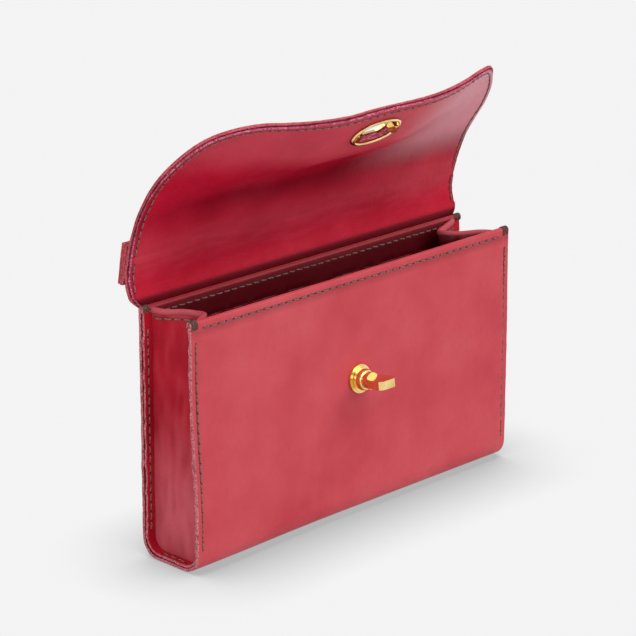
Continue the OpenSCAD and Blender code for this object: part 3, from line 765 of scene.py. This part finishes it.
def edge_distance(x, s):
    """Distance to the flap's cut edge, near enough for seams."""
    side = FLAP_HALF_W - np.abs(x)
    flat = FLAP_HALF_W - FLAP_R
    cx, cy = np.abs(x) - flat, s - (FLAP_SIDE - FLAP_R)
    corner = FLAP_R - np.hypot(np.maximum(cx, 0), np.maximum(cy, 0))
    return np.where((cx > 0) & (cy > 0), corner, np.minimum(side, flap_end(x) - s))


EYELET_HOLE = (24.4, 11.6)


def hole_share(x, s):
    """Distance outside the oval hole for the eyelet; negative inside it."""
    half, r = (EYELET_HOLE[0] - EYELET_HOLE[1]) / 2, EYELET_HOLE[1] / 2
    return np.hypot(np.maximum(np.abs(x) - half, 0), s - EYELET_S) - r


def flap_columns(inset):
    reach = FLAP_HALF_W - inset
    near = [0, 0.5, 1.2, 1.8, 2.4, 3.0, 3.6, 4.4, 6, 8, 10.5, 13.5]
    return np.array(mirror_list([reach - d for d in near] + list(np.linspace(0, reach - 17, 34))))


def flap_grid(s_from, inset, s_to=None):
    """Rows of x and s: from s_from to s_to, or to the cut edge less inset."""
    xs = flap_columns(inset)
    if s_to is not None:
        rows = np.linspace(s_from, s_to, max(6, int((s_to - s_from) / 1.2)))
        return np.meshgrid(xs, rows)
    end = np.maximum(flap_end(xs * (FLAP_HALF_W - inset * 0.02) / FLAP_HALF_W, inset), s_from + 30)
    tail = np.array([13.5, 10.5, 8, 6, 4.4, 3.6, 3.0, 2.4, 1.8, 1.2, 0.5, 0])
    t = np.linspace(0, 1, 58)[:-1]
    S = np.concatenate([s_from + (end - 16 - s_from)[None] * t[:, None], end[None] - tail[:, None]])
    return np.broadcast_to(xs, S.shape).copy(), S


def cut_hole(o):
    """Cuts the eyelet's oval hole through a flap sheet."""
    P, n = flap_surface(np.array(0.0), np.array(EYELET_S))
    half, r = (EYELET_HOLE[0] - EYELET_HOLE[1]) / 2, EYELET_HOLE[1] / 2
    ang = np.linspace(-90, 90, 17)
    ring = [(half + r * math.cos(math.radians(a)), r * math.sin(math.radians(a))) for a in ang]
    ring += [(-half - r * math.cos(math.radians(a)), -r * math.sin(math.radians(a))) for a in ang]
    up = np.array([0, -n[2], n[1]])
    ring = [(x * (1 + 0.012 * rng.normal()), z * (1 + 0.02 * rng.normal())) for x, z in ring]
    v = [P + np.array([x, 0, 0]) + up * z + n * d for d in (-6, 6) for x, z in ring]
    k = len(ring)
    faces = [tuple(range(k)), tuple(range(2 * k - 1, k - 1, -1))]
    faces += [(q, k + q, k + (q + 1) % k, (q + 1) % k) for q in range(k)]
    me = bpy.data.meshes.new("hole_cutter")
    me.from_pydata((np.array(v) / 1000).tolist(), [], faces)
    me.materials.append(FRESH_EDGE)
    cutter = bpy.data.objects.new("hole_cutter", me)
    bpy.context.collection.objects.link(cutter)
    mod = o.modifiers.new("hole", "BOOLEAN")
    mod.object = cutter
    mod.operation = "DIFFERENCE"
    mod.solver = "EXACT"
    mod.material_mode = "TRANSFER"
    bpy.context.view_layer.update()
    deps = bpy.context.evaluated_depsgraph_get()
    new = bpy.data.meshes.new_from_object(o.evaluated_get(deps))
    o.modifiers.clear()
    old = o.data
    o.data = new
    bpy.data.meshes.remove(old)
    bpy.data.objects.remove(cutter)


def crease_place(s):
    P, _ = flap_surface(np.array(0.0), np.array(float(s)))
    return tuple(float(v) / 1000 for v in P)


HINGE_BLEND = ("pouch", "flap_base", (0, HINGE_Y / 1000, (HINGE_Z - 2.5) / 1000),
               (0, (HINGE_Y + 1.5) / 1000, (HINGE_Z + 3.5) / 1000))
FOLD_BLEND = ("flap_base", "flap_front", crease_place(CREASE_S - 5), crease_place(CREASE_S + 5))
MARGIN = 14.0


def flap_pieces():
    """Leather and lining, each in a lower part at the hinge and an upper part across the fold."""
    for part in ("lower", "upper"):
        for layer in ("leather", "lining"):
            outer = layer == "leather"
            inset = 0.0 if outer else 0.9
            if part == "lower":
                X, S = flap_grid(-MARGIN - 1 if outer else -7.0, inset, STRAP_S + 1.4)
                X = X * (1 - 0.02 * smooth01((3 - S) / 5) - 0.045 * smooth01((0 - S) / 6))
            else:
                X, S = flap_grid(STRAP_S, inset)
            P, n = flap_surface(X, S)
            push = flap_wave(P, X, S)
            d = edge_distance(X, S)
            if part == "lower":         # the last rows tuck in between the plies of the upper part
                push = push + (-0.14 if outer else 0.14) * smooth01((S - STRAP_S + 0.6) / 1.6)
            P = P + n * push[..., None]
            N = grid_normals(P, n)
            centre = S - CREASE_S - 1 + 2.5 * bumps(P, 26, 6.0)
            crease_line = np.exp(-(centre / 3.2) ** 2)
            band = np.exp(-(centre / 9.0) ** 2) * (0.75 + 0.25 * bumps(P, 22, 2.2))
            dent = 0.3 * crease_line + 0.2 * np.exp(-((d - STITCH_INSET) / 0.8) ** 2)
            if outer:
                out, inn = OUTER_T + 0.02, -0.02
                # painted shade along the fold
                shade = 0.12 * crease_line
                haze = None
                if part == "lower":
                    N = np.where((S < 3)[..., None], n, N)
            else:
                out, inn = -0.03, LINING_T + 0.02 - 0.6 * dent
                foot = (0.5 * bumps(P * np.array([0.35, 1, 1.8]), 3.2, 7.7)
                        * np.exp(-((S - 17) / 11) ** 2))
                # painted shade: the fold's dark valley fading to the left, the stitch line, the gap at
                # the hinge, wrinkle hollows and a ring round the eyelet
                shade = (0.72 * band * smooth01((150 + X) / 120)
                         + 0.3 * np.exp(-((d - 2.0) / 0.9) ** 2)
                         + 0.95 * smooth01((2.6 - S) / 2.4) + 0.18 * np.maximum(0, foot)
                         + 0.22 * np.exp(-(hole_share(X, S) / 3.5) ** 2))
                # painted highlight: paler towards the upper right, higher up, on wrinkle crests and by
                # the strap
                haze = (0.9 * smooth01((X - 12) / 76) * smooth01((S - 29) / 24)
                        + 0.14 * smooth01((S - 62) / 24) + 0.1 * np.maximum(0, -foot)
                        + 0.08 * np.exp(-((S - 22) / 9) ** 2))
            s = Soup()
            sides = ("last_row",) if part == "lower" else ("first_row",)
            sheet(s, P, N, out, inn, edge=0.3 if outer else 0.52, rough=0.05 if outer else 0.2,
                  open_sides=sides, crease=np.clip(shade, 0, 1),
                  haze=None if haze is None else np.clip(haze, 0, 1))
            nodes = {("lower", "leather"): ("flap_sewn_margin", "flap_base_outer"),
                     ("lower", "lining"): ("flap_base_lining",),
                     ("upper", "leather"): ("flap_front_outer",),
                     ("upper", "lining"): ("flap_front_lining",)}[part, layer]
            mats = ([CORAL, DARK_EDGE, CORAL_EDGE] if outer
                    else [LINING_BACK, LINING_RED, FRESH_EDGE])
            s.make("flap_%s_%s" % (part, layer), mats, None,
                   nodes,
                   blend=HINGE_BLEND if part == "lower" else FOLD_BLEND,
                   cut=None if part == "lower" else cut_hole)


def flap_stitches():
    inward = LINING_T + 0.12
    # up the sides of the lower part, on the lining
    s = Soup()
    for sx in (-1, 1):
        S = np.linspace(3, STRAP_S - 0.5, 20)
        P, n = flap_surface(np.full(20, sx * (FLAP_HALF_W - STITCH_INSET)), S)
        P = P + n * flap_wave(P, P[:, 0], S)[:, None]
        stitch_row(s, P - n * inward, -n, lift=0.0)
    s.make("flap_foot_stitches", [THREAD, NEEDLE_HOLE_SHADE], None, ("flap_base_thread",),
           blend=HINGE_BLEND)
    # round the cut edge of the upper part, on the lining and on the outside
    reach, turn = FLAP_HALF_W - STITCH_INSET, FLAP_SIDE - FLAP_R
    up = np.linspace(STRAP_S + 0.5, turn, 30)[:-1]
    x = -reach * np.cos(np.linspace(0, np.pi, 220))
    X = np.r_[np.full(29, -reach), x, np.full(29, reach)]
    S = np.r_[up, flap_end(x, STITCH_INSET), up[::-1]]
    P, n = flap_surface(X, S)
    P = P + n * flap_wave(P, X, S)[:, None]
    s = Soup()
    stitch_row(s, P - n * inward, -n, lift=-0.14)
    stitch_row(s, P + n * OUTER_T, n, lift=0.0)
    s.make("flap_edge_stitches", [THREAD, NEEDLE_HOLE_SHADE], None, ("flap_front_thread",),
           blend=FOLD_BLEND)
    # two rows through the sewn margin on the back
    s = Soup()
    x = np.linspace(-HALF_W + 4, HALF_W - 4, 100)
    for z in (HINGE_Z - MARGIN + 2, HINGE_Z - 5):
        path = np.stack([x, np.full(100, HALF_D + 0.1 + LINING_T + OUTER_T), np.full(100, z)], 1)
        stitch_row(s, path, np.tile([0, 1, 0], (100, 1)))
    s.make("margin_stitches", [THREAD, NEEDLE_HOLE_SHADE], "pouch", ("flap_margin_thread",))


# ---------------------------------------------------------------- hand strap
STRAP_W, STRAP_T, PAD_L, PAD_T, BOW = 20.0, 2.2, 18.0, 1.2, 10.0
STRAP_AT = STRAP_S - 2.5
PAD_Y = OUTER_T + 0.075
STRAP_Y = PAD_Y + PAD_T + 0.05


def strap_frame():
    P, n = flap_surface(np.array(0.0), np.array(STRAP_AT))
    return P, n, np.array([0, -n[2], n[1]])


def strap_grid(xs, ys, half, cols=9):
    """A grid over the strap's middle surface: x along it, rows across it."""
    P0, n, up = strap_frame()
    w = np.linspace(-half, half, cols)
    G = np.zeros((len(xs), cols, 3))
    G[..., 0] = xs[:, None]
    G += P0 * np.array([0, 1, 1]) + n * ys[:, None, None] + up * w[None, :, None]
    N = grid_normals(G, n)
    return G, N


def strap():
    span = FLAP_HALF_W - PAD_L
    xs = np.r_[np.linspace(-FLAP_HALF_W, -span, 10)[:-1], np.linspace(-span, span, 90),
               np.linspace(span, FLAP_HALF_W, 10)[1:]]
    bow = np.where(np.abs(xs) < span, BOW * (1 + np.cos(np.pi * xs / span)) / 2, 0)
    s = Soup()
    # two plies with their cut edges side by side
    for k, (lo, hi) in enumerate(((0.0, 1.06), (1.12, 2.2))):
        G, N = strap_grid(xs, STRAP_Y + bow + lo, STRAP_W / 2 - 0.15 * k, 9)
        crown = 0.12 * (1 - (np.linspace(-1, 1, 9) ** 2))[None, :] if k else 0
        sheet(s, G, N, hi - lo + crown, 0.0, edge=0.3, rough=0.05)
    s.make("hand_strap_leather", [CORAL, CORAL, CORAL_EDGE], "flap_base",
           ("hand_strap",))
    s = Soup()
    for sx in (-1, 1):
        x = sx * (FLAP_HALF_W - PAD_L / 2) + np.linspace(-PAD_L / 2, PAD_L / 2, 9)
        G, N = strap_grid(x, np.full(9, PAD_Y), STRAP_W / 2 - 0.2, 7)
        sheet(s, G, N, PAD_T, 0.0, edge=0.35, rough=0.07)
    s.make("strap_pads", [CORAL, DARK_EDGE, CORAL_EDGE], "flap_base",
           ("strap_end_pads",))
    s = Soup()
    P0, n, up = strap_frame()

    def on_strap(x, w):
        x, w = np.broadcast_arrays(np.asarray(x, float), np.asarray(w, float))
        b = np.where(np.abs(x) < span, BOW * (1 + np.cos(np.pi * x / span)) / 2, 0)
        P = np.stack([x, 0 * x, 0 * x], -1) + P0 * np.array([0, 1, 1])
        return P + n * (STRAP_Y + STRAP_T + b + 0.06)[..., None] + up * w[..., None]

    for w in (-STRAP_W / 2 + 2.2, STRAP_W / 2 - 2.2):
        x = np.linspace(-FLAP_HALF_W + 3, FLAP_HALF_W - 3, 160)
        P = on_strap(x, w)
        N = unit(np.cross(np.gradient(P, axis=0), up))
        N = N * np.sign((N * n).sum(-1))[:, None]
        stitch_row(s, P, N)
    for sx in (-1, 1):
        for x in (FLAP_HALF_W - 3, FLAP_HALF_W - PAD_L + 3):
            w = np.linspace(-STRAP_W / 2 + 3.4, STRAP_W / 2 - 3.4, 20)
            stitch_row(s, on_strap(np.full(20, sx * x), w), np.tile(n, (20, 1)), pitch=4.4)
    s.make("strap_stitches", [THREAD, NEEDLE_HOLE_SHADE], "flap_base", ("strap_thread",))


# ---------------------------------------------------------------- brass pieces
BEVELS = {"lock_base": 0.22, "lock_backing_plate": 0.15, "lock_spring_washer": 0.1,
          "lock_toggle": 0.5, "lock_spindle": 0.15, "eyelet_frame": 0.25}
RING_HALF_L, RING_HALF_H = 13.5, 7.65        # centre line of the ring on the lining


def brass_pieces():
    """The CAD hardware keeps its shape, with polished brass and softened edges."""
    for name, width in BEVELS.items():
        o = frame["nodes"][name]
        if not o.material_slots:
            o.data.materials.append(BRASS)
        for ms in o.material_slots:
            ms.material = BRASS
        bevel = o.modifiers.new("soft_edges", "BEVEL")
        bevel.width = width / 1000
        bevel.segments = 3
        bevel.limit_method = "ANGLE"
        bevel.angle_limit = math.radians(35)
        bevel.harden_normals = False


def eyelet_ring():
    """The ring on the lining: a rounded oval wire, wider at its ends."""
    P0, n = flap_surface(np.array(0.0), np.array(EYELET_S))
    up = np.array([0, -n[2], n[1]])
    out = np.array([1.0, 0, 0])
    turns, sides = 72, 12
    s = Soup()
    ring = np.zeros((turns, sides, 3))
    for k in range(turns):
        a = 2 * math.pi * k / turns
        c, d = math.cos(a), math.sin(a)
        fat = 0.88 + 0.5 * smooth01((abs(c) - 0.72) / 0.24)
        mid = (out * (RING_HALF_L * np.sign(c) * abs(c) ** 0.86)
               + up * (RING_HALF_H * np.sign(d) * abs(d) ** 0.92))
        away = unit(out * (c / RING_HALF_L) + up * (d / RING_HALF_H))
        for q in range(sides):
            b = 2 * math.pi * q / sides
            depth = LINING_T + 0.67 + 0.47 * math.sin(b)
            ring[k, q] = P0 + mid + away * fat * math.cos(b) - n * depth
    faces = []
    for k in range(turns):
        here, there = k * sides, ((k + 1) % turns) * sides
        faces += [(here + q, here + (q + 1) % sides, there + (q + 1) % sides, there + q)
                  for q in range(sides)]
    s.add(ring, faces, 0)
    s.make("eyelet_ring", [BRASS], "flap_front", ("eyelet_back_ring",))


# ---------------------------------------------------------------- stage and light
FLOOR_HALF, FLOOR_Z = 8, -0.0002            # metres
FLOOR_LIGHT = 0.9
# darkest level of the floor's painted shadow
FLOOR_DARK = 0.5
SKY_STRENGTH = 0.5
# what glossy rays see by height: bright panels with dark between them, for the brass
PANELS = [(0.0, 0.5), (0.12, 0.35), (0.24, 1.7), (0.38, 1.7), (0.5, 0.3), (0.68, 0.5), (0.8, 1.8)]
PANEL_STRENGTH = 0.9
# name, place, energy and angular size in degrees
SUNS = (("key", (0.5, -1.6, 1.5), 1.38, 50), ("fill", (-1.6, -0.4, 0.9), 0.6, 60),
        ("top", (0.3, 0.3, 2.0), 0.55, 70))
SUN_AIM = Vector((0, 0, 0.08))


def floor():
    """A pale sheet that shows its own brightness, with a painted shadow: an ambient occlusion term
    darkens it where the object stands close to it.
    """
    me = bpy.data.meshes.new("floor")
    corners = [(-1, -1), (1, -1), (1, 1), (-1, 1)]
    me.from_pydata([(x * FLOOR_HALF, y * FLOOR_HALF, FLOOR_Z) for x, y in corners], [],
                   [(0, 1, 2, 3)])
    sheet_object = bpy.data.objects.new("floor", me)
    bpy.context.collection.objects.link(sheet_object)
    n = Nodes("floor_paper")
    grain = n.noise(60, 2)
    n.link(n.ramp(grain, "Fac", [(0.3, (0.80, 0.80, 0.80, 1)), (0.7, (0.81, 0.81, 0.81, 1))]), 0,
           n.bsdf, "Base Color")
    n.bsdf.inputs["Roughness"].default_value = 1.0
    n.bsdf.inputs["Specular IOR Level"].default_value = 0.0
    # painted shadow: ambient occlusion darkens the floor's glow near the object
    wide = n.add("ShaderNodeAmbientOcclusion", samples=24)
    wide.inputs["Distance"].default_value = 0.05
    shadow = n.map(wide, "AO", FLOOR_DARK, 1.0, 0.42, 1.0)
    level = n.add("ShaderNodeMath", operation="MULTIPLY")
    level.inputs[1].default_value = FLOOR_LIGHT
    n.link(shadow, 0, level, 0)
    glow = n.add("ShaderNodeEmission")
    n.link(level, 0, glow, "Strength")
    rays = n.add("ShaderNodeLightPath")
    seen = n.add("ShaderNodeMath", operation="MAXIMUM")
    n.link(rays, "Is Camera Ray", seen, 0)
    n.link(rays, "Is Glossy Ray", seen, 1)
    seen_any = n.add("ShaderNodeMath", operation="MAXIMUM")
    n.link(seen, 0, seen_any, 0)
    n.link(rays, "Is Transmission Ray", seen_any, 1)
    pick = n.add("ShaderNodeMixShader")
    n.link(seen_any, 0, pick, 0)
    n.link(n.bsdf, 0, pick, 1)
    n.link(glow, 0, pick, 2)
    n.link(pick, 0, n.out, 0)
    me.materials.append(n.mat)


def world():
    """A plain gradient lights the object. Glossy rays see brighter panels instead."""
    studio = bpy.data.worlds.new("studio")
    bpy.context.scene.world = studio
    studio.use_nodes = True
    tree = studio.node_tree
    tree.nodes.clear()
    out = tree.nodes.new("ShaderNodeOutputWorld")
    bg = tree.nodes.new("ShaderNodeBackground")
    coord = tree.nodes.new("ShaderNodeTexCoord")
    split = tree.nodes.new("ShaderNodeSeparateXYZ")
    ramp = tree.nodes.new("ShaderNodeValToRGB")
    tree.links.new(coord.outputs["Generated"], split.inputs[0])
    tree.links.new(split.outputs["Z"], ramp.inputs[0])
    fill_ramp(ramp, [(0.0, (0.42, 0.41, 0.40, 1)), (0.75, (1, 1, 1, 1))])
    tree.links.new(ramp.outputs[0], bg.inputs[0])
    bg.inputs[1].default_value = SKY_STRENGTH
    shine = tree.nodes.new("ShaderNodeValToRGB")
    tree.links.new(split.outputs["Z"], shine.inputs[0])
    fill_ramp(shine, [(place, (level, level, level, 1)) for place, level in PANELS])
    mirror = tree.nodes.new("ShaderNodeBackground")
    tree.links.new(shine.outputs[0], mirror.inputs[0])
    mirror.inputs[1].default_value = PANEL_STRENGTH
    rays = tree.nodes.new("ShaderNodeLightPath")
    pick = tree.nodes.new("ShaderNodeMixShader")
    tree.links.new(rays.outputs["Is Glossy Ray"], pick.inputs[0])
    tree.links.new(bg.outputs[0], pick.inputs[1])
    tree.links.new(mirror.outputs[0], pick.inputs[2])
    tree.links.new(pick.outputs[0], out.inputs[0])


def lamps():
    for name, place, energy, size in SUNS:
        data = bpy.data.lights.new(name, "SUN")
        data.energy = energy
        data.angle = math.radians(size)
        o = bpy.data.objects.new(name, data)
        bpy.context.collection.objects.link(o)
        o.location = place
        o.rotation_euler = (SUN_AIM - Vector(place)).to_track_quat("-Z", "Y").to_euler()
    bpy.context.scene.view_settings.view_transform = "Standard"


# ---------------------------------------------------------------- build
body_leather()
seam_stitches(-1, "left_seam_stitches", "left_seam_thread")
seam_stitches(1, "right_seam_stitches", "right_seam_thread")
hem_stitches()
bar_tacks()
gusset(-1, *LEFT_FOLD, "gusset_left", "left_gusset")
gusset(1, *RIGHT_FOLD, "gusset_right", "right_gusset")
gusset_hem_stitches()
flap_pieces()
flap_stitches()
strap()
brass_pieces()
eyelet_ring()
floor()
world()
lamps()
